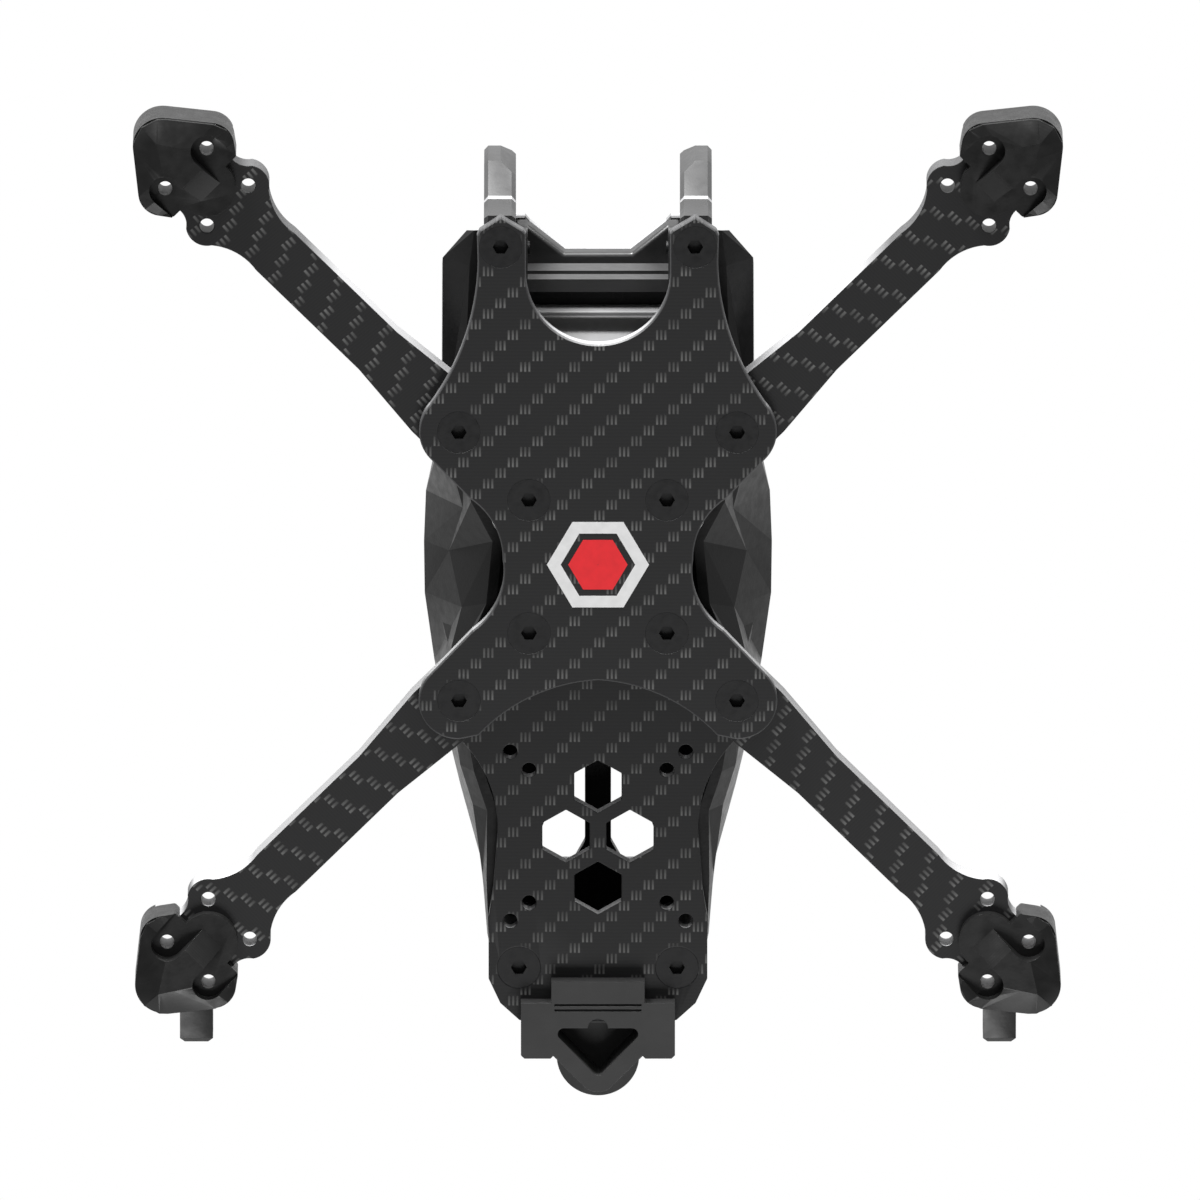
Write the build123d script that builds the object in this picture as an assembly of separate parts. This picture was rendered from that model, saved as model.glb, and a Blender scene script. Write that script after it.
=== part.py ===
from build123d import *
import os
from math import cos, radians, sin, sqrt

# A bare racing quadcopter airframe, in millimetres. The origin is the middle of the four motors, on
# the belly plane. +Z is up, -Y is the nose, +X is the craft's left. Everything mirrors in X.

# ---- driving dimensions ----
wheelbase = 160.0              # motor centre to the motor centre diagonally opposite
motor_circle = 12.0            # bolt circle of a motor's four M2 holes
motor_hole_r = 1.05            # M2 clearance
motor_shaft_r = 2.5            # clearance in the arm for the motor's shaft clip

bottom_t = 2.0                 # bottom plate
arm_t = 4.0                    # arms
mid_t = 2.0                    # middle plate
bay_h = 22.0                   # free height between the middle and top plates
top_t = 2.0                    # top plate
edge_bevel = 0.25              # broken edges of the carbon plates

stack_half = 10.0              # 20 x 20 mm flight stack, through the arms
arm_bolt_half = 20.15          # outer arm bolts
nose_bolt = (14.06, -47.9)     # camera side plate bolts, in the bottom plate
deck_nose_bolt = (14.2, -39.2)  # camera side plate bolts, in the top plate
tail_bolt = (11.5, 62.0)       # rear standoff bolts
waist_bolt = (14.6, -26.2)     # front standoff bolts, in the top plate

screw_r = 1.48                 # M3 thread, as a plain shaft
free_thread_r = 1.45           # the same thread where it stands free
screw_hole_r = 1.52            # M3 hole
head_r = 3.1                   # M3 flat head
head_h = 1.6
hex_key = 2.0                  # across the flats of the socket
socket_depth = 1.1
sink_gap = 0.05                # head to countersink

video_half = 20.0 / 2          # rear video board, small pattern
video_wide_half = 25.5 / 2     # rear video board, large pattern
video_centre_y = 42.2
video_hole_r = 1.05

pivot_y, pivot_z = -43.0, 18.0  # camera cradle's tilt axis
pivot_r = 1.0
pivot_head_r = 1.9
pivot_head_h = 1.0
pivot_head_sunk = 0.8          # how far the head sits in the side plate
pivot_gap = 0.05
camera_hole_y, camera_hole_z = -45.4, 15.3
camera_hole_r = 1.05

# ---- heights worked out from them ----
motor_half = wheelbase / 2 / sqrt(2)
arm_z = bottom_t
mid_z = arm_z + arm_t
bay_z = mid_z + mid_t
top_z = bay_z + bay_h
roof_z = top_z + top_t
through = 60.0                 # long enough to cut through everything

parts = {}


def outline(*steps):
    """A closed wire: each step is a corner, or a pair of points that an arc passes and reaches."""
    edges = []
    here = steps[0]
    for step in steps[1:]:
        if isinstance(step[0], tuple):
            edges.append(ThreePointArc(here, step[0], step[1]))
            here = step[1]
        else:
            edges.append(Line(here, step))
            here = step
    if here != steps[0]:
        edges.append(Line(here, steps[0]))
    face = make_face(edges).face()
    return Sketch() + (face if face.normal_at().Z > 0 else -face)


def prism(face, z0, z1):
    return Pos(0, 0, z0) * extrude(face, amount=z1 - z0, dir=(0, 0, 1))


def polygon(*points):
    return make_face(Polyline(*points, close=True))


def rounded(radius, *points):
    """A polygon with the same radius, or a list of radii, at its corners."""
    return make_face(FilletPolyline(*points, radius=radius, close=True))


def both_sides(half):
    return half + mirror(half, about=Plane.YZ)


def bevelled(plan, z0, z1, size=edge_bevel):
    """A flat plate whose two rims are broken at 45 degrees."""
    rim = extrude(plan, amount=size, taper=45)
    if rim.bounding_box().max.Z < size / 2:
        rim = mirror(rim, about=Plane.XY)
    plate = prism(plan, z0 + size, z1 - size)
    return plate + Pos(0, 0, z1 - size) * rim + Pos(0, 0, z0 + size) * mirror(rim, about=Plane.XY)


def four(x, y):
    return [(x, y), (-x, y), (x, -y), (-x, -y)]


def two(point):
    return [(point[0], point[1]), (-point[0], point[1])]


def drill(body, places, radius, z0=-through / 2, z1=through):
    for x, y in places:
        body -= Pos(x, y, z0) * Cylinder(radius, z1 - z0, align=(Align.CENTER, Align.CENTER, Align.MIN))
    return body


def sink(body, places, z, facing=1):
    """Countersunk M3 holes; facing is 1 where the head's face looks down, -1 where it looks up."""
    flip = Rot(0, 0, 0) if facing > 0 else Rot(180, 0, 0)
    cone = Cone(head_r + sink_gap, screw_hole_r, head_h, align=(Align.CENTER, Align.CENTER, Align.MIN))
    for x, y in places:
        body -= Pos(x, y, z) * flip * cone
    return drill(body, places, screw_hole_r)


def flat_screw(length, grip=0.0):
    """M3 flat-head screw that points up, with the face of its head at z = 0. Past its grip, the
    thread stands free and is drawn a little thinner."""
    low = (Align.CENTER, Align.CENTER, Align.MIN)
    screw = Cone(head_r, screw_r, head_h, align=low)
    if grip:
        screw += Pos(0, 0, head_h) * Cylinder(screw_r, grip - head_h, align=low)
        screw += Pos(0, 0, grip) * Cylinder(free_thread_r, length - grip, align=low)
    else:
        screw += Pos(0, 0, head_h) * Cylinder(screw_r, length - head_h, align=low)
    screw = chamfer(screw.faces().sort_by(Axis.Z)[-1].edges(), length=0.35)
    socket = extrude(RegularPolygon(hex_key / 2, 6, major_radius=False), amount=socket_depth)
    return screw - socket


def screws(length, places, z, facing=1, grip=0.0):
    flip = Rot(0, 0, 0) if facing > 0 else Rot(180, 0, 0)
    return [Pos(x, y, z) * flip * flat_screw(length, grip) for x, y in places]


def keep(name, *solids):
    parts[name] = Compound(children=[s for s in solids]) if len(solids) > 1 else solids[0]


def plan_mirror(shape, x_sign, y_sign):
    """A piece of the rear left quarter (+X, +Y) moved to another quarter."""
    if x_sign < 0 and y_sign < 0:
        return Rot(0, 0, 180) * shape
    if x_sign < 0:
        return mirror(shape, about=Plane.YZ)
    if y_sign < 0:
        return mirror(shape, about=Plane.XZ)
    return shape


def polyhedron(rings):
    """A closed solid through rings of points, each ring as long as the next, split into flat facets."""
    faces = []
    for near, far in zip(rings, rings[1:]):
        for i in range(len(near)):
            j = (i + 1) % len(near)
            for corners in ((near[i], near[j], far[j]), (near[i], far[j], far[i])):
                faces.append(Face(Wire.make_polygon(corners, close=True)))
    faces.extend(fan(rings[0]) + fan(rings[-1]))
    return Solid(Shell(faces))


def fan(ring):
    return [Face(Wire.make_polygon((ring[0], ring[i], ring[i + 1]), close=True))
            for i in range(1, len(ring) - 1)]


CORNERS = {"front_left": (1, -1), "front_right": (-1, -1), "rear_left": (1, 1), "rear_right": (-1, 1)}


# ---- bottom plate: an X with two prongs at the nose and a round bite between them ----
def bottom_plate():
    half = outline(
        (0, -33.3), ((7.35, -36.35), (10.4, -43.7)), (10.4, -49.9), (10.8, -50.4), (14.06, -52.4),
        (17.1, -50.4), (17.5, -49.6), (17.4, -45.5), ((19.2, -34.5), (24.3, -24.3)),
        ((25.9, -20.15), (24.25, -16.1)), (18.6, -10.2), ((14.9, -5.9), (13.8, -1.0)),
        ((15.0, 6.0), (18.2, 9.6)), (24.3, 16.1), ((25.5, 22.6), (20.15, 26.0)),
        (17.3, 25.4), ((9.6, 19.6), (0, 17.1)))
    plate = bevelled(both_sides(half), 0, bottom_t)
    places = four(stack_half, stack_half) + four(arm_bolt_half, arm_bolt_half) + two(nose_bolt)
    return sink(plate, places, 0)


# ---- arms: straight blades with a four-eared motor pad, mitred at the middle ----
arm_root_half = 5.1
arm_blade_half = 3.95
ear_r = 3.05
ear = motor_circle / 2 / sqrt(2)
pad = wheelbase / 2


def ear_point(centre, degrees):
    return (centre[0] + ear_r * cos(radians(degrees)), centre[1] + ear_r * sin(radians(degrees)))


def arm_half_outline():
    inner, outer = (pad - ear, ear), (pad + ear, ear)
    return outline(
        (0.3, 0), (arm_root_half + 0.3, arm_root_half), (33, arm_root_half), (45, arm_blade_half),
        (66, arm_blade_half), ((70.4, 4.3), ear_point(inner, 148)),
        (ear_point(inner, 100), ear_point(inner, 55)), ((pad, 5.4), ear_point(outer, 125)),
        (ear_point(outer, 50), ear_point(outer, -15)), ((86.5, 1.6), (86.3, 0)))


def arm_outline():
    half = arm_half_outline()
    return half + mirror(half, about=Plane.XZ)


def arm():
    blade = prism(arm_outline(), arm_z, arm_z + arm_t)
    middle = [(pad, 0)]
    motor = [(pad + ear * i, ear * j) for i in (-1, 1) for j in (-1, 1)]
    bolts = [(stack_half * sqrt(2), 0), (arm_bolt_half * sqrt(2), 0)]
    blade = drill(drill(drill(blade, middle, motor_shaft_r), motor, motor_hole_r), bolts, screw_hole_r)
    return Rot(0, 0, 45) * blade


# ---- middle plate: the electronics floor, running back to the tail ----
press_nut_r = 2.2


def hexagon(x, y):
    """A hexagonal opening with a corner towards the nose and one towards the tail."""
    return Pos(x, y) * Rot(0, 0, 30) * RegularPolygon(3.95, 6)


def mid_plate():
    half = outline(
        (0, -31.4), (18.6, -31.4), (20.9, -26.5), ((25.3, -20.6), (23.6, -16.4)), (16.6, -9.4),
        ((13.2, -5.2), (12.4, 0.8)), ((13.4, 7.0), (16.6, 11.2)), (22.9, 17.3),
        ((25.2, 22.4), (21.4, 26.4)), ((16.2, 33.2), (14.6, 41.9)), (15.2, 50.1), (15.9, 54.4),
        (15.9, 63.7), (14.2, 67.4), (11.4, 70.0), (0, 70.0))
    plate = prism(both_sides(half), mid_z, bay_z)
    video = [(x, y + video_centre_y) for x, y in four(video_half, video_half)]
    video += [(x, y + video_centre_y) for x, y in four(video_wide_half, video_wide_half)]
    for x, y in ((0, 34.7), (4.64, 42.2), (-4.64, 42.2), (0, 50.0)):
        plate -= prism(hexagon(x, y), mid_z, bay_z)
    plate = drill(plate, video, video_hole_r)
    plate = drill(plate, four(stack_half, stack_half), screw_hole_r)
    plate = drill(plate, four(arm_bolt_half, arm_bolt_half), press_nut_r + 0.02)
    plate = drill(plate, two(waist_bolt), screw_hole_r)
    return sink(plate, two(tail_bolt), mid_z)


def press_nut(x, y):
    low = (Align.CENTER, Align.CENTER, Align.MIN)
    return Pos(x, y, mid_z) * (Cylinder(press_nut_r, mid_t, align=low)
                               - Cylinder(screw_hole_r, mid_t, align=low))


# ---- top plate: battery deck with strap slots, a nose notch and two tail windows ----
strap_slots = {-15.4: 13.0, 23.5: 19.0}    # middle along Y: length
strap_slot_w = 3.0
nose_notch = ((4.8, -39.7), (9.9, -43.8))


def top_plate():
    half = outline(
        (0, nose_notch[0][1]), nose_notch[0], nose_notch[1], (10.6, -44.6), (16.4, -44.6), (16.4, -41.6),
        (18.8, -41.6), (21.9, -37.8), (21.9, -14.5), ((18.6, -8.2), (14.6, -3.0)), (14.3, 0.8),
        ((14.6, 5.8), (16.8, 9.8)), (22.3, 14.6), (22.6, 20.0), (20.2, 33.0), (18.8, 38.9),
        (15.9, 49.4), (15.9, 63.7), (14.2, 67.4), (11.4, 70.0), (0, 70.0))
    plate = bevelled(both_sides(half), top_z, roof_z)
    window = rounded(0.8, (1.9, 35.5), (4.2, 36.4), (9.2, 50.5), (8.4, 52.5), (3.5, 52.5), (1.9, 49.6))
    window = prism(window, top_z, roof_z)
    for side in (1, -1):
        plate -= window if side > 0 else mirror(window, about=Plane.YZ)
        for y, length in strap_slots.items():
            slot = extrude(RectangleRounded(strap_slot_w, length, 1.4), amount=top_t)
            plate -= Pos(side * 13.0, y, top_z) * slot
    return sink(plate, two(deck_nose_bolt) + two(tail_bolt) + two(waist_bolt), roof_z, facing=-1)


# ---- motor guards: soft bumpers that wrap each arm's end, with a faceted skid below ----
guard_top = 7.0
guard_pad_z = 0.5              # underside of the thin web below the arm's end
skid_z = -2.0
arm_gap = 0.12                 # guard to arm
lobe_half = 4.2
ramp_half = 1.94
channel_half = ear - ramp_half
# each step: foot along and across the arm's line, then rim along, across and height
skid_point = (10.3, 0.0, 13.23, 0.0, -0.7)
skid_steps = (
    (10.0, 0.194, 12.5, 2.4, -0.7), (8.3, 1.293, 11.65, 3.29, -0.7), (6.2, 2.65, 6.25, 7.61, -0.7),
    (4.8, 3.0, 4.25, 8.34, -0.5), (3.4, 2.6, 2.22, 7.68, -0.1), (2.9, 1.9, 0.49, 6.36, 0.45))


def guard_plan():
    """Rim seen from above, with the motor's centre at (0, 0) and the craft's corner at +X +Y."""
    side = ((11.23, 11.23), (9.6, -3.55), (4.83, -4.3))
    points = [*side, (-4.3, 4.83), (-3.55, 9.6)]
    return rounded([4.3, 3.4, 0.5, 0.5, 3.4], *points)


def guard_lobe():
    low = (Align.CENTER, Align.CENTER, Align.MIN)
    height = bottom_t - guard_pad_z
    web = Pos(lobe_half, 0, guard_pad_z) * Box(2 * lobe_half, 2 * lobe_half, height, align=low)
    return Rot(0, 0, 45) * (Pos(0, 0, guard_pad_z) * Cylinder(lobe_half, height, align=low) + web)


def guard_skid():
    """Facets that fall from the rim to a flat, which points at the craft's corner."""
    mirrored = [(foot_u, -foot_v, u, -v, z) for foot_u, foot_v, u, v, z in reversed(skid_steps)]
    steps = [skid_point, *skid_steps, *mirrored]
    foot = [(foot_u, foot_v, skid_z) for foot_u, foot_v, _, _, _ in steps]
    rim = [(u, v, z) for _, _, u, v, z in steps]
    return Rot(0, 0, 45) * polyhedron([foot, rim, [(u, v, bottom_t) for u, v, _ in rim]])


def guard_ramp():
    """Web between the two screw channels, from the pad up to the flat of the skid."""
    side = Plane.XZ * polygon((3.4, skid_z), (3.1, skid_z), (-0.8, guard_pad_z), (-0.8, bottom_t),
                              (3.4, bottom_t))
    return Rot(0, 0, 45) * extrude(side, amount=ramp_half, both=True)


def motor_guard(with_tab):
    low = (Align.CENTER, Align.CENTER, Align.MIN)
    centre = Pos(motor_half, motor_half, 0)
    guard = prism(guard_plan(), 0, guard_top) + guard_skid() + guard_lobe() + guard_ramp()
    if with_tab:
        tab = Pos(1.75, 11.9, -0.4) * Box(4.8, 6.2, 5.2, align=low)
        guard += chamfer(tab.faces().sort_by(Axis.Y)[-1].edges(), length=0.7)
    depth = guard_pad_z + 1 - skid_z
    for side in (1, -1):
        hole = Rot(0, 0, 45) * Pos(ear, side * ear, skid_z - 1)
        channel = Box(2 * ear - 1, 2 * channel_half, depth, align=(Align.MAX, Align.CENTER, Align.MIN))
        guard -= hole * (Cylinder(channel_half, depth, align=low) + channel)
    motor = [(0, motor_circle / 2), (motor_circle / 2, 0)]
    guard = drill(guard, motor, motor_hole_r)
    guard -= Pos(0, 0, arm_z + arm_t) * Cylinder(8.6, 4, align=low)
    end = prism(offset(arm_face_at_corner(), arm_gap), arm_z, guard_top + 1)
    return centre * guard - end


def arm_face_at_corner():
    return Rot(0, 0, 45) * arm_outline()


# ---- camera side plates: thick nose cheeks that stand on the prongs ----
cheek_in, cheek_out = 11.9, 16.5


def camera_side_plate():
    profile = Plane.YZ * polygon(
        (-44.0, arm_z), (-52.1, arm_z), (-52.1, 12.0), (-55.9, 18.8), (-55.9, 27.4), (-54.2, top_z),
        (-36.9, top_z), (-36.9, 23.0), (-38.6, 21.0), (-38.6, 12.0))
    cheek = Pos(cheek_in, 0, 0) * extrude(profile, amount=cheek_out - cheek_in)
    sides = cheek.faces().sort_by(Axis.X)
    cheek = chamfer(sides[0].edges() + sides[-1].edges(), length=0.6)
    cheek = drill(cheek, [nose_bolt], screw_hole_r, z1=12.0)
    cheek = drill(cheek, [deck_nose_bolt], screw_hole_r, z0=23.5)
    pivot = Pos(0, pivot_y, pivot_z) * Rot(0, 90, 0) * Cylinder(pivot_r + pivot_gap, through)
    seat = Pos(cheek_out - pivot_head_sunk, pivot_y, pivot_z) * Rot(0, 90, 0) * Cylinder(
        pivot_head_r + 0.1, 2.0, align=(Align.CENTER, Align.CENTER, Align.MIN))
    nose_corner = polygon((cheek_in - 1, -57.0), (cheek_in + 2.2, -57.0), (cheek_in + 2.2, -55.9),
                          (cheek_in, -54.3), (cheek_in - 1, -54.3))
    return cheek - pivot - seat - prism(nose_corner, 10.0, top_z + 1)


# ---- camera cradle: two ears and a grooved web that tilt between the side plates ----
cradle_in, cradle_out = 10.2, 11.4
washer_gap = 0.02


def camera_cradle():
    web_front, web_back = -39.5, -37.6
    web_low, web_high = 13.5, 22.5
    ear_plan = Plane.YZ * rounded(
        [0.4, 1.4, 1.4, 1.4, 0.4], (web_back, web_low), (-47.2, web_low), (-47.2, 18.6),
        (-43.6, web_high), (web_back, web_high))
    flange = Pos(cradle_in, 0, 0) * extrude(ear_plan, amount=cradle_out - cradle_in)
    web = Pos(0, web_back, web_low) * Box(2 * cradle_in + 1, web_back - web_front, web_high - web_low,
                                          align=(Align.CENTER, Align.MAX, Align.MIN))
    groove = Pos(0, web_front - 0.2, 17.4) * Box(2 * cradle_in, 2.0, 1.9)
    cradle = both_sides(flange) + web - groove
    for y, z, r in ((pivot_y, pivot_z, pivot_r + pivot_gap), (camera_hole_y, camera_hole_z, camera_hole_r)):
        cradle -= Pos(0, y, z) * Rot(0, 90, 0) * Cylinder(r, through)
    return cradle


def pivot_screw(side):
    """Round-head M2 screw whose shaft runs through the side plate, the washer and the ear."""
    low = (Align.CENTER, Align.CENTER, Align.MIN)
    head = Cylinder(pivot_head_r, pivot_head_h, align=low)
    head = chamfer(head.faces().sort_by(Axis.Z)[-1].edges(), length=0.3)
    seat_x = cheek_out - pivot_head_sunk
    shaft = Cylinder(pivot_r, seat_x - cradle_in + 0.3, align=(Align.CENTER, Align.CENTER, Align.MAX))
    socket = Pos(0, 0, 0.4) * extrude(RegularPolygon(0.65, 6, major_radius=False), amount=1.0)
    return Pos(side * seat_x, pivot_y, pivot_z) * Rot(0, side * 90, 0) * (head + shaft - socket)


def cradle_washer(side):
    thickness = cheek_in - cradle_out - washer_gap
    ring = Cylinder(2.2, thickness) - Cylinder(pivot_r + pivot_gap, thickness)
    return Pos(side * (cheek_in - thickness / 2), pivot_y, pivot_z) * Rot(0, 90, 0) * ring


# ---- front bulkhead and bridge: the wall and the lintel behind the camera ----
bulkhead_front = -31.4


def front_bulkhead():
    low = (Align.CENTER, Align.MIN, Align.MIN)
    wall = Pos(0, bulkhead_front, bay_z) * Box(33.0, 2.4, bay_h, align=low)
    wall -= Pos(0, bulkhead_front, 23.6) * Box(33.0, 0.9, 2.2, align=low)
    for x in (-6.5, 6.5):
        wall += Pos(x, bulkhead_front + 2.4, bay_z) * Box(1.6, 2.0, bay_h, align=low)
    return wall


def front_bridge():
    half = polygon((0, -35.6), (0, nose_notch[0][1] - 0.1), (nose_notch[0][0] + 0.1, nose_notch[0][1] - 0.1),
                   (nose_notch[1][0] + 0.1, nose_notch[1][1] - 0.1), (cheek_in - 0.1, -44.2),
                   (cheek_in - 0.1, -35.6))
    bridge = both_sides(prism(half, top_z - 2.9, top_z))
    return chamfer(bridge.faces().sort_by(Axis.Z)[0].edges(), length=0.4)


# ---- side panels: thin moulded fairings between the middle and top plates ----
panel_t = 1.5


def side_panel():
    """Each station holds four points of the skin: foot, crease, shoulder and top, as (x, y, z)."""
    stations = (
        ((17.9, -48.3, 8.0), (19.0, -47.9, 9.6), (18.9, -44.4, 20.0), (18.6, -41.2, 30.0)),
        ((18.6, -43.0, 8.0), (22.5, -43.6, 10.4), (22.6, -40.0, 21.0), (22.0, -36.8, 30.0)),
        ((19.6, -18.0, 8.0), (22.6, -17.0, 11.4), (22.7, -16.5, 21.0), (22.0, -16.0, 30.0)),
        ((18.4, -7.6, 8.0), (19.6, -5.6, 12.0), (25.0, -5.0, 24.0), (24.0, -4.6, 30.0)),
        ((15.3, -1.6, 8.0), (21.6, 2.3, 17.5), (25.3, 2.6, 24.0), (24.3, 2.6, 30.0)),
        ((16.2, 7.7, 8.0), (19.8, 9.6, 13.0), (25.2, 10.4, 24.0), (24.0, 10.6, 30.0)),
        ((20.6, 18.0, 8.0), (22.2, 19.0, 11.5), (23.8, 20.2, 23.0), (23.0, 20.4, 30.0)),
        ((18.0, 33.0, 8.0), (20.0, 33.0, 11.5), (21.4, 33.0, 22.0), (20.6, 33.0, 30.0)),
        ((16.1, 38.9, 8.0), (18.2, 38.9, 11.5), (20.0, 38.9, 22.0), (19.2, 38.9, 30.0)),
        ((16.2, 49.4, 8.0), (16.8, 49.4, 11.5), (17.2, 49.4, 22.0), (16.8, 49.4, 30.0)),
        ((15.9, 58.4, 8.0), (16.1, 58.4, 11.5), (16.2, 58.4, 22.0), (16.0, 58.2, 30.0)))
    rings = [[*skin, *((x - panel_t, y, z) for x, y, z in reversed(skin))] for skin in stations]
    return polyhedron(rings)


# ---- tail: antenna mount that sleeves the rear standoffs and hooks under the middle plate ----
mount_low = 3.5
mount_step = 9.0               # where the low hook gives way to the round post
mount_high = 28.0
mount_gap = 0.15
sleeve_r = 3.9
post_r = 6.0
antenna_r = 2.2
antenna_y = 76.2
antenna_floor = 11.0


def antenna_mount():
    low = (Align.CENTER, Align.CENTER, Align.MIN)
    front = (Align.CENTER, Align.MIN, Align.MIN)
    wall_y = 64.6
    wall_h = mount_high - bay_z - mount_gap
    hook_top = mid_z - 0.02
    ear_in, ear_out, ear_end = 6.5, 11.2, 75.1
    tail_edge = 70.0 + mount_gap
    cross = outline((0, 63.5), (ear_in + 0.3, 63.5), (ear_in + 0.3, 66.7), (ear_out, 66.7),
                    (ear_out, ear_end - 0.5), (ear_out - 0.5, ear_end), (ear_in + 0.4, ear_end),
                    (ear_in, ear_end - 0.4), (1.9, 79.4), ((1.0, 80.0), (0, 80.1)))
    hook = prism(both_sides(cross), mount_low, hook_top)
    rear_half = Pos(0, tail_edge, 0) * Box(through, through, through, align=front)
    hook += prism(both_sides(cross), mount_low, mount_step + 4.0) & Pos(0, 0, -through / 4) * rear_half
    post = Pos(0, antenna_y, mount_step) * Cylinder(post_r, mount_high - mount_step, align=low)
    neck = Pos(0, tail_edge, mount_step) * Box(2 * post_r, antenna_y - tail_edge, mount_high - mount_step,
                                               align=front)
    slope = Plane.YZ * polygon((60, 0), (84, 0), (84, 20.0), (76.0, mount_high), (60, mount_high))
    post = (post + neck) & (Pos(-through / 2, 0, 0) * extrude(slope, amount=through))
    wall = Pos(0, wall_y, bay_z + mount_gap) * Box(2 * ear_out, tail_edge + 1 - wall_y, wall_h, align=front)
    mount = hook + post + wall
    for x, y in two(tail_bolt):
        mount += Pos(x, y, bay_z + mount_gap) * Cylinder(sleeve_r, wall_h, align=low)
    mount = drill(mount, two(tail_bolt), standoff_r + 0.05)
    mount = drill(mount, two(tail_bolt), head_r + 0.3, z1=mid_z)
    pocket = rounded([0.9, 0.9, 0.9], (-7.0, 70.5), (7.0, 70.5), (0, 78.0))
    mount -= prism(pocket, mount_low - 1, mount_step)
    mount -= Pos(0, 70.5, mount_low - 1) * Cylinder(1.45, 4.0, align=low)
    for y in (67.0, 67.8):
        mount -= Pos(0, y, mount_low) * Box(2 * ear_in - 0.4, 0.35, 0.7)
    return mount - Pos(0, antenna_y, antenna_floor) * Cylinder(antenna_r, through, align=low)


# ---- standoffs, nuts and battery pad ----
standoff_r = 2.5
nut_h = 2.4


def standoff(x, y):
    low = (Align.CENTER, Align.CENTER, Align.MIN)
    post = Cylinder(standoff_r, bay_h, align=low)
    ends = post.faces().sort_by(Axis.Z)
    post = chamfer(ends[0].edges() + ends[-1].edges(), length=0.3)
    return Pos(x, y, bay_z) * (post - Cylinder(screw_hole_r, bay_h, align=low))


def hex_nut(x, y):
    nut = extrude(RegularPolygon(2.75, 6, major_radius=False), amount=nut_h)
    return Pos(x, y, bay_z) * (nut - extrude(Circle(screw_hole_r), amount=nut_h))


def battery_pad():
    pad_block = Pos(0, -2.0, roof_z) * extrude(RectangleRounded(17.0, 56.0, 2.0), amount=1.0)
    return chamfer(pad_block.faces().sort_by(Axis.Z)[-1].edges(), length=0.3)


keep("bottom_plate", bottom_plate())
keep("mid_plate", mid_plate())
keep("top_plate", top_plate())
one_arm = arm()
front_guard = motor_guard(False)
rear_guard = motor_guard(True)
for place, (x_sign, y_sign) in CORNERS.items():
    keep("arm_" + place, plan_mirror(one_arm, x_sign, y_sign))
    keep("motor_guard_" + place, plan_mirror(rear_guard if y_sign > 0 else front_guard, x_sign, y_sign))
for side, sign in (("left", 1), ("right", -1)):
    keep("camera_side_plate_" + side, plan_mirror(camera_side_plate(), sign, 1))
    keep("side_panel_" + side, plan_mirror(side_panel(), sign, 1))
    keep("rear_standoff_" + side, standoff(sign * tail_bolt[0], tail_bolt[1]))
    keep("front_standoff_" + side, standoff(sign * waist_bolt[0], waist_bolt[1]))
    keep("pivot_screw_" + side, pivot_screw(sign))
keep("camera_cradle", camera_cradle())
keep("cradle_washers", cradle_washer(1), cradle_washer(-1))
keep("front_bulkhead", front_bulkhead())
keep("front_bridge", front_bridge())
keep("antenna_mount", antenna_mount())
keep("battery_pad", battery_pad())
keep("press_nuts", *[press_nut(x, y) for x, y in four(arm_bolt_half, arm_bolt_half)])
keep("stack_nuts", *[hex_nut(x, y) for x, y in four(stack_half, stack_half)])
keep("stack_screws", *screws(24.0, four(stack_half, stack_half), 0, grip=bay_z + nut_h))
keep("arm_screws", *screws(7.9, four(arm_bolt_half, arm_bolt_half), 0))
keep("nose_screws", *screws(10.0, two(nose_bolt), 0))
keep("tail_screws", *screws(8.0, two(tail_bolt), mid_z))
keep("deck_screws", *screws(8.0, two(deck_nose_bolt) + two(tail_bolt) + two(waist_bolt), roof_z, facing=-1))

for name, shape in parts.items():
    export_step(shape, f"parts/{name}.step")
    print(f"{name:28s} {shape.volume:9.1f} mm3")
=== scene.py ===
from math import cos, pi, radians, sin

import bmesh
import bpy
from mathutils import Matrix, Vector

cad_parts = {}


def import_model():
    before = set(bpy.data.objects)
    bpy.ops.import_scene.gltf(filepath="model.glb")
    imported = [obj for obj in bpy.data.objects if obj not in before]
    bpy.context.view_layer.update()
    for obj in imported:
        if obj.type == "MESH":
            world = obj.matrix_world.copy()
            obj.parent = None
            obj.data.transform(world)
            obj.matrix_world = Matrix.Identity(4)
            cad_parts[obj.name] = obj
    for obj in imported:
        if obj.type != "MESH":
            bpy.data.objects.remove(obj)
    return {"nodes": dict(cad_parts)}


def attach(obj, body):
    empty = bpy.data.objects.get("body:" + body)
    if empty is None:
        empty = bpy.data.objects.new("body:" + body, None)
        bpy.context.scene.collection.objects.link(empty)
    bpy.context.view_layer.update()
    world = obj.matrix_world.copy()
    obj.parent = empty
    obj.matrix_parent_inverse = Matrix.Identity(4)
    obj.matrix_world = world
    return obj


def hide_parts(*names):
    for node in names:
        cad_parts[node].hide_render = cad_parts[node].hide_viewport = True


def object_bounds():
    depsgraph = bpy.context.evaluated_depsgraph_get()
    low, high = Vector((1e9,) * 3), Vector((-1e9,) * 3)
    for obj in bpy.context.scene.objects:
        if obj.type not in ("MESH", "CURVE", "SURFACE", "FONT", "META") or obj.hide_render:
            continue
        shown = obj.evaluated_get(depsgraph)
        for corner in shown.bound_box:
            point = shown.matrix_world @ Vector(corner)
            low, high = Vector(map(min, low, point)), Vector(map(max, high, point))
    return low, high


MM = 0.001

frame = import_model()
cad_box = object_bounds()
nodes = frame["nodes"]


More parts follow.
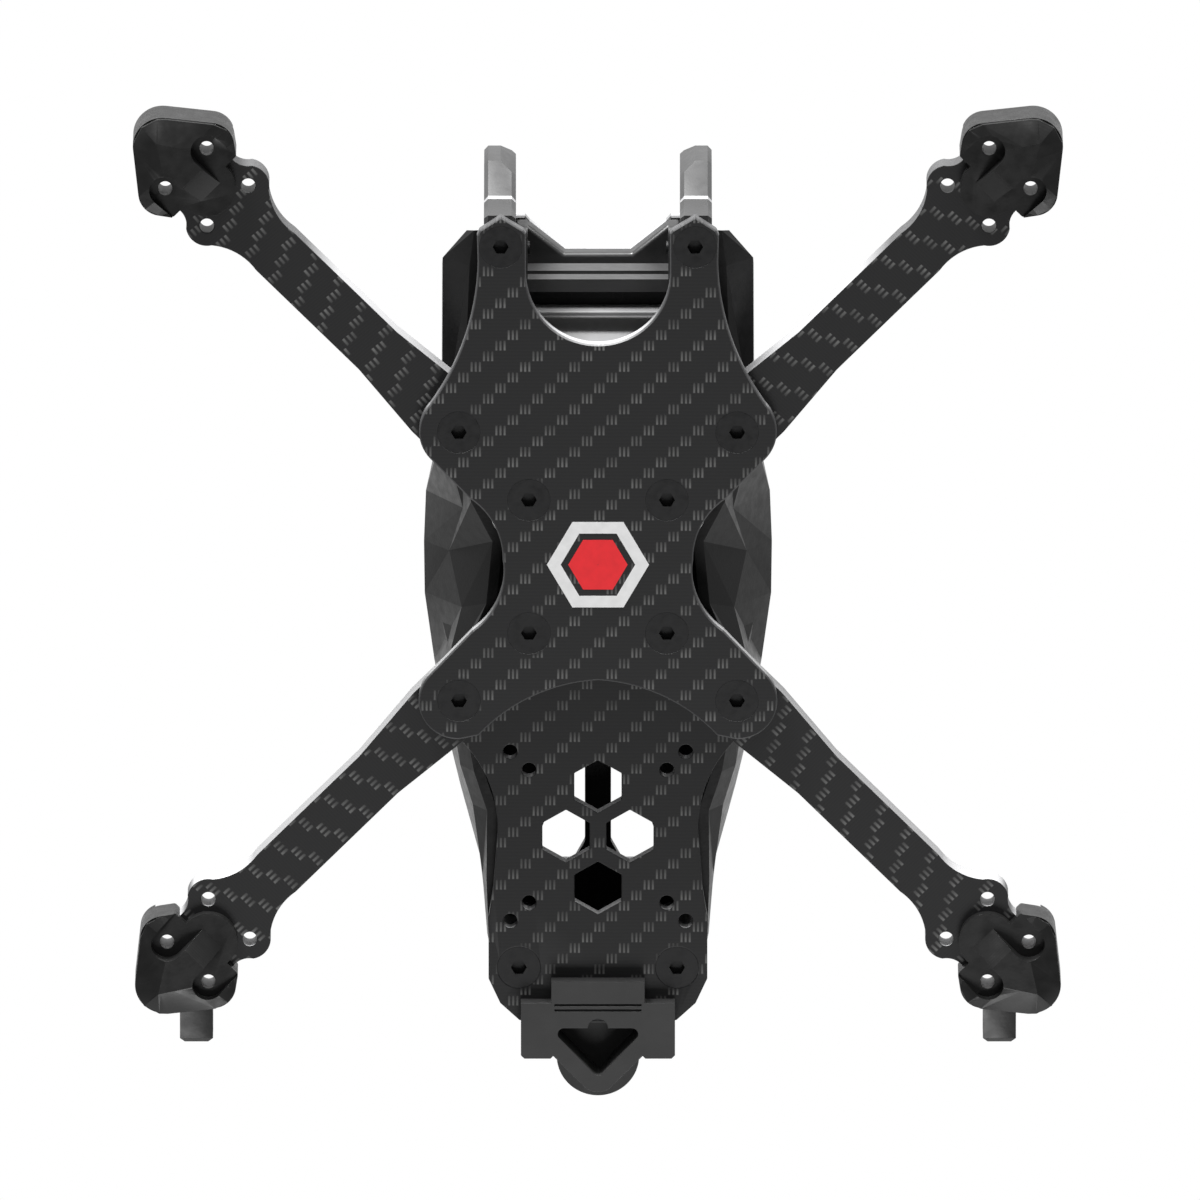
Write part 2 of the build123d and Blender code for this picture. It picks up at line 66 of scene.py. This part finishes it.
# ---- shader helpers ----
class Graph:
    """A Principled material with short calls for the nodes that shape it."""

    def __init__(self, name, color=(0.5, 0.5, 0.5), roughness=0.5, metallic=0.0, specular=0.5):
        self.material = bpy.data.materials.new(name)
        self.material.use_nodes = True
        self.tree = self.material.node_tree
        self.bsdf = self.tree.nodes["Principled BSDF"]
        self.set("Base Color", (*color, 1.0))
        self.set("Roughness", roughness)
        self.set("Metallic", metallic)
        self.set("Specular IOR Level", specular)

    def set(self, socket, value):
        if isinstance(value, bpy.types.NodeSocket):
            self.tree.links.new(value, self.bsdf.inputs[socket])
        else:
            self.bsdf.inputs[socket].default_value = value

    def feed(self, socket, value):
        if isinstance(value, bpy.types.NodeSocket):
            self.tree.links.new(value, socket)
        else:
            socket.default_value = value

    def math(self, operation, *values):
        node = self.tree.nodes.new("ShaderNodeMath")
        node.operation = operation
        for socket, value in zip(node.inputs, values):
            self.feed(socket, value)
        return node.outputs[0]

    def position(self, angle=0.0):
        """Object coordinates, turned about Z by an angle in degrees."""
        place = self.tree.nodes.new("ShaderNodeTexCoord").outputs["Object"]
        if angle:
            turn = self.tree.nodes.new("ShaderNodeVectorRotate")
            turn.rotation_type = "Z_AXIS"
            turn.inputs["Angle"].default_value = radians(angle)
            self.tree.links.new(place, turn.inputs["Vector"])
            place = turn.outputs[0]
        return place

    def split(self, vector):
        node = self.tree.nodes.new("ShaderNodeSeparateXYZ")
        self.tree.links.new(vector, node.inputs[0])
        return node.outputs

    def normal(self):
        return self.tree.nodes.new("ShaderNodeNewGeometry").outputs["Normal"]

    def noise(self, scale, detail=3.0, roughness=0.5, vector=None):
        node = self.tree.nodes.new("ShaderNodeTexNoise")
        node.inputs["Scale"].default_value = scale
        node.inputs["Detail"].default_value = detail
        node.inputs["Roughness"].default_value = roughness
        self.tree.links.new(vector or self.position(), node.inputs["Vector"])
        return node.outputs["Fac"]

    def remap(self, value, low, high, to_low=0.0, to_high=1.0, smooth=False):
        node = self.tree.nodes.new("ShaderNodeMapRange")
        node.interpolation_type = "SMOOTHSTEP" if smooth else "LINEAR"
        for name, number in (("From Min", low), ("From Max", high), ("To Min", to_low), ("To Max", to_high)):
            node.inputs[name].default_value = number
        self.feed(node.inputs["Value"], value)
        return node.outputs["Result"]

    def mix(self, factor, first, second):
        node = self.tree.nodes.new("ShaderNodeMix")
        node.data_type = "RGBA"
        self.feed(node.inputs["Factor"], factor)
        for socket, color in ((node.inputs[6], first), (node.inputs[7], second)):
            self.feed(socket, color if isinstance(color, bpy.types.NodeSocket) else (*color, 1.0))
        return node.outputs[2]

    def bump(self, height, distance, strength=1.0):
        node = self.tree.nodes.new("ShaderNodeBump")
        node.inputs["Strength"].default_value = strength
        node.inputs["Distance"].default_value = distance
        self.tree.links.new(height, node.inputs["Height"])
        self.set("Normal", node.outputs[0])


# ---- carbon plate: 2/2 twill whose warp floats are painted lighter in stepped rows, painted glints ----
PLATE_TOW = (1.79 * MM, 1.59 * MM)     # width of a tow, length of a float
ARM_TOW = (2.35 * MM, 1.27 * MM)
THREADS_IN_TOW = 3
LAMINA = 0.25 * MM
CARBON_DARK = (0.0125, 0.0125, 0.0130)
# colour of the painted glints on the warp floats, a painted highlight; the faint weft threads lean towards
# it too
CARBON_BRIGHT = (0.15, 0.15, 0.148)
CARBON_RIM = ((0.045, 0.045, 0.046), (0.10, 0.10, 0.102))
# painted highlight: a light colour painted on the rims that face the nose, standing in for the nose light on
# them
NOSE_RIM_HIGHLIGHT = (0.42, 0.42, 0.425)         # edges that face the nose, behind the prong tips
TIPS_END, TIPS_START = -43.0 * MM, -48.0 * MM
QUIET_RADIUS = 3.5 * MM                # round a countersunk head
FLAT_FROM, FLAT_FULL = 0.6, 0.85       # how upright a normal is on the flat of a plate


def carbon(name, angle=0.0, quiet_spots=(), tow=PLATE_TOW, start=(0.0, 0.0), below=True):
    """Twill plate whose warp floats carry painted glints: lighter strokes painted into the base colour as
    highlights.
    Start slides the weave across and along the tows. Below is False where the underside has no painted
    glints. The painted glints fade round the quiet spots."""
    g = Graph(name, specular=0.3)
    x, y, _ = g.split(g.position(angle))
    z = g.split(g.position())[2]
    across = g.math("DIVIDE", g.math("ADD", x, start[0]), tow[0])
    along = g.math("DIVIDE", g.math("ADD", y, start[1]), tow[1])
    cell = g.math("ADD", g.math("FLOOR", across), g.math("FLOOR", along))
    step = g.math("FLOORED_MODULO", g.math("ADD", cell, 0.5), 4.0)
    bright_cell = g.math("LESS_THAN", step, 1.0)
    in_tow = g.math("FRACT", across)
    in_float = g.math("FRACT", along)
    thread = g.math("FRACT", g.math("MULTIPLY", in_tow, THREADS_IN_TOW))
    off_middle = g.math("SUBTRACT", g.math("MULTIPLY", thread, 2.0), 1.0)
    ridge = g.math("SUBTRACT", 1.0, g.math("ABSOLUTE", off_middle))
    stroke = g.remap(ridge, 0.25, 0.8, smooth=True)
    fade = g.remap(in_float, 0.03, 0.85, 0.3, 1.0)
    ends = g.math("MULTIPLY", g.remap(in_float, 0.0, 0.08, smooth=True),
                  g.remap(in_float, 1.0, 0.9, smooth=True))
    uneven = g.remap(g.noise(420.0, 2.0), 0.3, 0.7, 0.55, 1.1)
    glint = g.math("MULTIPLY", g.math("MULTIPLY", stroke, fade), g.math("MULTIPLY", ends, uneven))
    glint = g.math("MULTIPLY", glint, bright_cell)
    upward = g.split(g.normal())[2]
    flat_side = g.remap(g.math("ABSOLUTE", upward), FLAT_FROM, FLAT_FULL, smooth=True)
    glint_side = flat_side if below else g.remap(upward, FLAT_FROM, FLAT_FULL, smooth=True)
    glint = g.math("MULTIPLY", glint, glint_side)
    for spot in quiet_spots:
        away = g.tree.nodes.new("ShaderNodeVectorMath")
        away.operation = "DISTANCE"
        flat = g.tree.nodes.new("ShaderNodeVectorMath")
        flat.operation = "MULTIPLY"
        g.tree.links.new(g.position(), flat.inputs[0])
        flat.inputs[1].default_value = (1, 1, 0)
        g.tree.links.new(flat.outputs[0], away.inputs[0])
        away.inputs[1].default_value = (*spot, 0)
        clear = g.remap(away.outputs["Value"], QUIET_RADIUS - 0.5 * MM, QUIET_RADIUS + 0.4 * MM,
                        0.12, 1.0, smooth=True)
        glint = g.math("MULTIPLY", glint, clear)
    cross = g.math("FRACT", g.math("MULTIPLY", in_float, THREADS_IN_TOW))
    weft = g.math("MULTIPLY", g.remap(cross, 0.2, 0.9, smooth=True), 0.02)
    # Base colour: dark carbon, painted lighter by the glints (painted highlights) and very faintly by the
    # weft threads.
    plate = g.mix(g.math("ADD", glint, g.math("MULTIPLY", weft, flat_side)), CARBON_DARK, CARBON_BRIGHT)
    layer = g.math("FRACT", g.math("DIVIDE", z, LAMINA))
    rim = g.mix(g.remap(layer, 0.3, 0.7, smooth=True), *CARBON_RIM)
    # Painted highlight: rims that face the nose, behind the prong tips, are painted light where the nose
    # light falls on them.
    forward = g.remap(g.split(g.normal())[1], -0.4, -0.9, smooth=True)
    behind_tips = g.remap(g.split(g.position())[1], TIPS_START, TIPS_END)
    rim = g.mix(g.math("MULTIPLY", forward, behind_tips), rim, NOSE_RIM_HIGHLIGHT)
    g.set("Base Color", g.mix(flat_side, rim, plate))
    g.set("Roughness", g.remap(glint, 0.0, 1.0, 0.46, 0.34))
    height = g.math("ADD", g.math("MULTIPLY", stroke, bright_cell), g.math("MULTIPLY", g.noise(900.0), 0.4))
    g.bump(height, 0.025 * MM, 0.5)
    return g.material


# ---- moulded, printed and metal materials ----
def blasted(g, roughness):
    """Fine grain and slightly uneven gloss, for moulded plastic and bead-blasted metal."""
    g.set("Roughness", g.remap(g.noise(700.0), 0.3, 0.7, roughness - 0.05, roughness + 0.07))
    g.bump(g.noise(2600.0, 2.0), 0.02 * MM, 0.6)


def drifting_grey(g, low, high):
    drift = g.remap(g.noise(90.0, 4.0), 0.3, 0.7)
    return g.mix(drift, (low,) * 3, (high, high, high * 1.02))


def plastic(name, low, high, roughness, specular=0.5):
    """Moulded plastic: fine spark grain, faint tone drift and slightly uneven gloss."""
    g = Graph(name, specular=specular)
    g.set("Base Color", drifting_grey(g, low, high))
    blasted(g, roughness)
    return g.material


BREAK_HEIGHT = 11.9 * MM               # where a side plate's front face leans forward
# colour of the painted highlight along the break across the side plates' front faces
BREAK_HIGHLIGHT_PAINT = (0.5, 0.5, 0.51)


def cheek(name, low, high, roughness):
    """Bead-blasted anodised plate, with a painted highlight: a band along the break across its front face is
    painted lighter.
    """
    g = Graph(name)
    z = g.split(g.position())[2]
    # Painted highlight: a thin band along the break, on faces turned to the nose, is painted lighter.
    from_break = g.math("ABSOLUTE", g.math("SUBTRACT", z, BREAK_HEIGHT))
    line = g.math("SUBTRACT", 1.0, g.remap(from_break, 0.3 * MM, 0.55 * MM, smooth=True))
    front = g.remap(g.split(g.normal())[1], -0.6, -0.75, smooth=True)
    wear_and_highlight = g.math("MULTIPLY", line, front)
    g.set("Base Color", g.mix(wear_and_highlight, drifting_grey(g, low, high), BREAK_HIGHLIGHT_PAINT))
    blasted(g, roughness)
    return g.material


PRINT_LAYER = 0.2 * MM


def printed(name, low, high, roughness):
    """Printed elastomer: fine layer lines round the walls, closed skin on flat faces, soft sheen."""
    g = Graph(name, specular=0.4)
    z = g.split(g.position())[2]
    layer = g.math("FRACT", g.math("DIVIDE", z, PRINT_LAYER))
    bead = g.math("SINE", g.math("MULTIPLY", layer, pi))
    drift = g.remap(g.noise(160.0, 4.0), 0.3, 0.7)
    g.set("Base Color", g.mix(drift, (low,) * 3, (high,) * 3))
    g.set("Roughness", g.remap(g.noise(500.0), 0.3, 0.7, roughness - 0.05, roughness + 0.08))
    wall = g.remap(g.math("ABSOLUTE", g.split(g.normal())[2]), 0.95, 0.6, smooth=True)
    height = g.math("ADD", g.math("MULTIPLY", bead, wall), g.math("MULTIPLY", g.noise(2400.0), 0.5))
    g.bump(height, 0.03 * MM, 0.55)
    return g.material


def metal(name, color, roughness, wear, metallic=1.0):
    """Finished metal: bead-blasted or plated skin with uneven gloss, lighter in places by wear."""
    g = Graph(name, metallic=metallic)
    drift = g.remap(g.noise(240.0, 4.0), 0.35, 0.7)
    wear_and_highlight = tuple(min(1.0, c + wear) for c in color)
    g.set("Base Color", g.mix(drift, color, wear_and_highlight))
    g.set("Roughness", g.remap(g.noise(900.0), 0.3, 0.7, roughness - 0.06, roughness + 0.08))
    g.bump(g.noise(3000.0, 2.0), 0.015 * MM, 0.5)
    return g.material


PAD_WAVE = 2600.0                      # radians per metre: a rib every 2.4 mm


def ribbed_rubber(name):
    """Non-slip pad with small pyramids in rows at 45 degrees; their tops are painted lighter and the grooves
    between them darker, painted shade on the relief.
    """
    g = Graph(name, color=(0.02, 0.02, 0.021), roughness=0.8, specular=0.3)
    x, y, _ = g.split(g.position(45))
    rib = g.math("MULTIPLY", g.math("SINE", g.math("MULTIPLY", x, PAD_WAVE)),
                 g.math("SINE", g.math("MULTIPLY", y, PAD_WAVE)))
    pyramid_shade = g.remap(rib, -1.0, 1.0)
    g.set("Base Color", g.mix(pyramid_shade, (0.012, 0.012, 0.013), (0.032, 0.032, 0.033)))
    g.bump(rib, 0.12 * MM, 0.8)
    return g.material


def ink(name, color):
    """Printed mark: dense ink with a faintly uneven coat."""
    g = Graph(name, roughness=0.45, specular=0.35)
    worn = tuple(c * 0.9 for c in color)
    g.set("Base Color", g.mix(g.remap(g.noise(600.0), 0.35, 0.7), color, worn))
    g.bump(g.noise(1500.0), 0.01 * MM, 0.4)
    return g.material


def paint(node, material):
    """Gives a CAD node its only material."""
    mesh = nodes[node].data
    mesh.materials.clear()
    mesh.materials.append(material)


SIDES = (1, -1)
BELLY_SCREWS = [(i * half * MM, j * half * MM) for half in (10.0, 20.15) for i in SIDES for j in SIDES]
BELLY_SCREWS += [(i * 14.06 * MM, -47.9 * MM) for i in SIDES]
TAIL_SCREWS = [(i * 11.5 * MM, 62.0 * MM) for i in SIDES]
WEAVE_START = (2.47 * MM, 0.555 * MM)
ARM_WEAVE = {                          # the way the tows run, in degrees about Z
    "arm_front_left": 136.0, "arm_rear_left": 44.6,
    "arm_front_right": -140.0, "arm_rear_right": -46.0}

paint("bottom_plate", carbon("carbon_belly", 0.0, BELLY_SCREWS, start=WEAVE_START))
paint("mid_plate", carbon("carbon_mid", 0.0, TAIL_SCREWS, start=WEAVE_START))
paint("top_plate", carbon("carbon_top", below=False))
for arm_name, weave_angle in ARM_WEAVE.items():
    paint(arm_name, carbon("carbon_" + arm_name, weave_angle, tow=ARM_TOW))

black_screw = metal("black_oxide", (0.0075, 0.0075, 0.008), 0.42, wear=0.003, metallic=0.3)
for node in ("stack_screws", "arm_screws", "nose_screws", "tail_screws", "deck_screws", "stack_nuts",
             "pivot_screw_left", "pivot_screw_right"):
    paint(node, black_screw)
paint("press_nuts", metal("zinc_plate", (0.42, 0.42, 0.43), 0.35, wear=0.1))
standoff_skin = metal("black_anodise", (0.05, 0.05, 0.055), 0.38, wear=0.02)
for side in ("left", "right"):
    paint("rear_standoff_" + side, standoff_skin)
    paint("front_standoff_" + side, standoff_skin)
panel_skin = plastic("panel_skin", 0.006, 0.009, 0.36, specular=0.3)
cheek_skin = cheek("cheek_skin", 0.034, 0.042, 0.45)
bay_skin = plastic("bay_skin", 0.03, 0.04, 0.45)
wall_skin = plastic("wall_skin", 0.16, 0.20, 0.45)
bridge_skin = plastic("bridge_skin", 0.022, 0.03, 0.4)
for side in ("left", "right"):
    paint("side_panel_" + side, panel_skin)
    paint("camera_side_plate_" + side, cheek_skin)
paint("front_bridge", bridge_skin)
paint("front_bulkhead", wall_skin)
paint("camera_cradle", bay_skin)
guard_skin = printed("guard_skin", 0.006, 0.009, 0.36)
mount_skin = printed("mount_skin", 0.028, 0.036, 0.5)
for node in nodes:
    if node.startswith("motor_guard"):
        paint(node, guard_skin)
paint("cradle_washers", guard_skin)
paint("antenna_mount", mount_skin)
paint("battery_pad", ribbed_rubber("pad_rubber"))


# ---- rounded edges: each listed hard-edged CAD piece is hidden and shown by a copy with broken edges ----
def round_edges(node, width, sharp=24.0, body="frame"):
    """A copy of a CAD node, in the same place, whose edges are rounded off by width where they turn
    by more than sharp, in degrees."""
    mesh = nodes[node].data.copy()
    mesh.name = node + "_rounded"
    edit = bmesh.new()
    edit.from_mesh(mesh)
    bmesh.ops.remove_doubles(edit, verts=edit.verts, dist=0.002 * MM)
    bmesh.ops.dissolve_limit(edit, angle_limit=radians(0.8), verts=edit.verts, edges=edit.edges)
    edit.to_mesh(mesh)
    edit.free()
    mesh.shade_smooth()
    mesh.set_sharp_from_angle(angle=radians(sharp))
    piece = bpy.data.objects.new(node + "_rounded", mesh)
    bpy.context.collection.objects.link(piece)
    bevel = piece.modifiers.new("edges", "BEVEL")
    bevel.width = width
    bevel.segments = 2
    bevel.limit_method = "ANGLE"
    bevel.angle_limit = radians(sharp)
    bevel.harden_normals = True
    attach(piece, body)
    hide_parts(node)


for corner in ("front_left", "front_right", "rear_left", "rear_right"):
    round_edges("motor_guard_" + corner, 0.16 * MM, sharp=16.0)
    round_edges("arm_" + corner, 0.18 * MM)
for side in ("left", "right"):
    round_edges("camera_side_plate_" + side, 0.3 * MM)
    round_edges("side_panel_" + side, 0.2 * MM, sharp=6.0)
round_edges("mid_plate", 0.15 * MM)
round_edges("front_bridge", 0.25 * MM)
round_edges("front_bulkhead", 0.3 * MM)
round_edges("camera_cradle", 0.25 * MM, body="cradle")
round_edges("antenna_mount", 0.22 * MM)


# ---- belly mark: a plain hexagon inside a ring, printed on the bottom plate ----
MARK_THICKNESS = 0.03 * MM
MARK_Y = -0.3 * MM


def flat_hexagon(name, outer, inner, colour):
    """A thin printed hexagonal ring on the belly. With a tiny inner radius it reads as a hexagon."""
    edit = bmesh.new()
    top, under = [], []
    for z, store in ((0.0, top), (-MARK_THICKNESS, under)):
        for radius in (outer, inner):
            ring = []
            for corner in range(6):
                turn = pi / 3 * corner
                ring.append(edit.verts.new((radius * cos(turn), MARK_Y + radius * sin(turn), z)))
            store.append(ring)
    for i in range(6):
        j = (i + 1) % 6
        edit.faces.new((under[0][i], under[1][i], under[1][j], under[0][j]))
        edit.faces.new((top[0][i], top[0][j], top[1][j], top[1][i]))
        edit.faces.new((under[0][i], under[0][j], top[0][j], top[0][i]))
        edit.faces.new((under[1][i], top[1][i], top[1][j], under[1][j]))
    bmesh.ops.recalc_face_normals(edit, faces=edit.faces)
    mesh = bpy.data.meshes.new(name)
    edit.to_mesh(mesh)
    edit.free()
    mesh.materials.append(ink(name + "_ink", colour))
    piece = bpy.data.objects.new(name, mesh)
    bpy.context.collection.objects.link(piece)
    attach(piece, "frame")


flat_hexagon("belly_mark_ring", 7.4 * MM, 5.4 * MM, (0.85, 0.85, 0.85))
flat_hexagon("belly_mark_middle", 4.3 * MM, 0.05 * MM, (0.86, 0.022, 0.03))


# ---- camera, floor and light ----
TILT = radians(15.28)
VIEW_WIDTH = 173.9 * MM
CAMERA_DISTANCE = 7.0
AIM = Vector((0.3, 5.0, 0.0)) * MM

look = Vector((0, sin(TILT), cos(TILT)))
up = Vector((0, -cos(TILT), sin(TILT)))
camera_data = bpy.data.cameras.new("camera")
camera = bpy.data.objects.new("camera", camera_data)
bpy.context.collection.objects.link(camera)
camera_data.sensor_width = 36.0
camera_data.lens = 36.0 * CAMERA_DISTANCE / VIEW_WIDTH
camera_data.clip_start, camera_data.clip_end = 0.01, 20.0
right = look.cross(up)
camera.matrix_world = Matrix.Translation(AIM - look * CAMERA_DISTANCE) @ Matrix(
    (right, up, -look)).transposed().to_4x4()
bpy.context.scene.camera = camera


LIT_POINT = Vector((0, 0, 10.0)) * MM


def area_light(name, place, power, size):
    data = bpy.data.lights.new(name, "AREA")
    data.shape = "DISK"
    data.size = size
    data.energy = power
    light = bpy.data.objects.new(name, data)
    bpy.context.collection.objects.link(light)
    light.location = place
    light.rotation_euler = (LIT_POINT - Vector(place)).to_track_quat("-Z", "Y").to_euler()


def floor():
    """Pale floor under the craft, shown only from above, so that the belly can be seen and lit."""
    bpy.ops.mesh.primitive_plane_add(size=6.0, location=(0, 0, cad_box[0].z - 0.02 * MM))
    plane = bpy.context.object
    plane.name = "floor"
    g = Graph("floor_paint", color=(0.86, 0.86, 0.86), roughness=0.8)
    clear = g.tree.nodes.new("ShaderNodeBsdfTransparent")
    pick = g.tree.nodes.new("ShaderNodeMixShader")
    seen = g.tree.nodes.new("ShaderNodeLightPath").outputs["Is Camera Ray"]
    below = g.tree.nodes.new("ShaderNodeNewGeometry").outputs["Backfacing"]
    g.tree.links.new(g.math("MULTIPLY", seen, g.math("SUBTRACT", 1.0, below)), pick.inputs[0])
    g.tree.links.new(clear.outputs[0], pick.inputs[1])
    g.tree.links.new(g.bsdf.outputs[0], pick.inputs[2])
    g.tree.links.new(pick.outputs[0], g.tree.nodes["Material Output"].inputs["Surface"])
    plane.data.materials.append(g.material)


def world(seen, above, below):
    """White to the camera. The object sees a room that is dim straight down and to both sides."""
    sky = bpy.data.worlds.new("world")
    bpy.context.scene.world = sky
    sky.use_nodes = True
    tree = sky.node_tree
    tree.nodes.clear()
    out = tree.nodes.new("ShaderNodeOutputWorld")
    pick = tree.nodes.new("ShaderNodeMixShader")
    place = tree.nodes.new("ShaderNodeTexCoord").outputs["Generated"]
    split = tree.nodes.new("ShaderNodeSeparateXYZ")
    tree.links.new(place, split.inputs[0])
    sides = tree.nodes.new("ShaderNodeMath")
    sides.operation = "ABSOLUTE"
    tree.links.new(split.outputs["X"], sides.inputs[0])
    both = tree.nodes.new("ShaderNodeMath")
    both.operation = "MULTIPLY"
    steps = ((split.outputs["Z"], -0.92, -0.25, below, above), (sides.outputs[0], 0.45, 0.95, 1.0, 0.3))
    for socket, (value, low, high, to_low, to_high) in zip(both.inputs, steps):
        fall = tree.nodes.new("ShaderNodeMapRange")
        fall.interpolation_type = "SMOOTHSTEP"
        for name, number in (("From Min", low), ("From Max", high), ("To Min", to_low), ("To Max", to_high)):
            fall.inputs[name].default_value = number
        tree.links.new(value, fall.inputs["Value"])
        tree.links.new(fall.outputs["Result"], socket)
    room = tree.nodes.new("ShaderNodeBackground")
    tree.links.new(both.outputs[0], room.inputs["Strength"])
    paper = tree.nodes.new("ShaderNodeBackground")
    paper.inputs["Strength"].default_value = seen
    for glow in (room, paper):
        glow.inputs["Color"].default_value = (1, 1, 1, 1)
    tree.links.new(tree.nodes.new("ShaderNodeLightPath").outputs["Is Camera Ray"], pick.inputs[0])
    tree.links.new(room.outputs[0], pick.inputs[1])
    tree.links.new(paper.outputs[0], pick.inputs[2])
    tree.links.new(pick.outputs[0], out.inputs[0])


floor()
world(seen=1.0, above=0.95, below=0.12)
area_light("key_nose", (-0.45, -1.3, -0.05), 48.0, 0.45)
area_light("second_nose", (0.5, -1.3, -0.1), 18.0, 0.45)
area_light("fill_below", (0.1, 0.95, -0.95), 9.0, 0.7)
bpy.context.scene.view_settings.view_transform = "Standard"
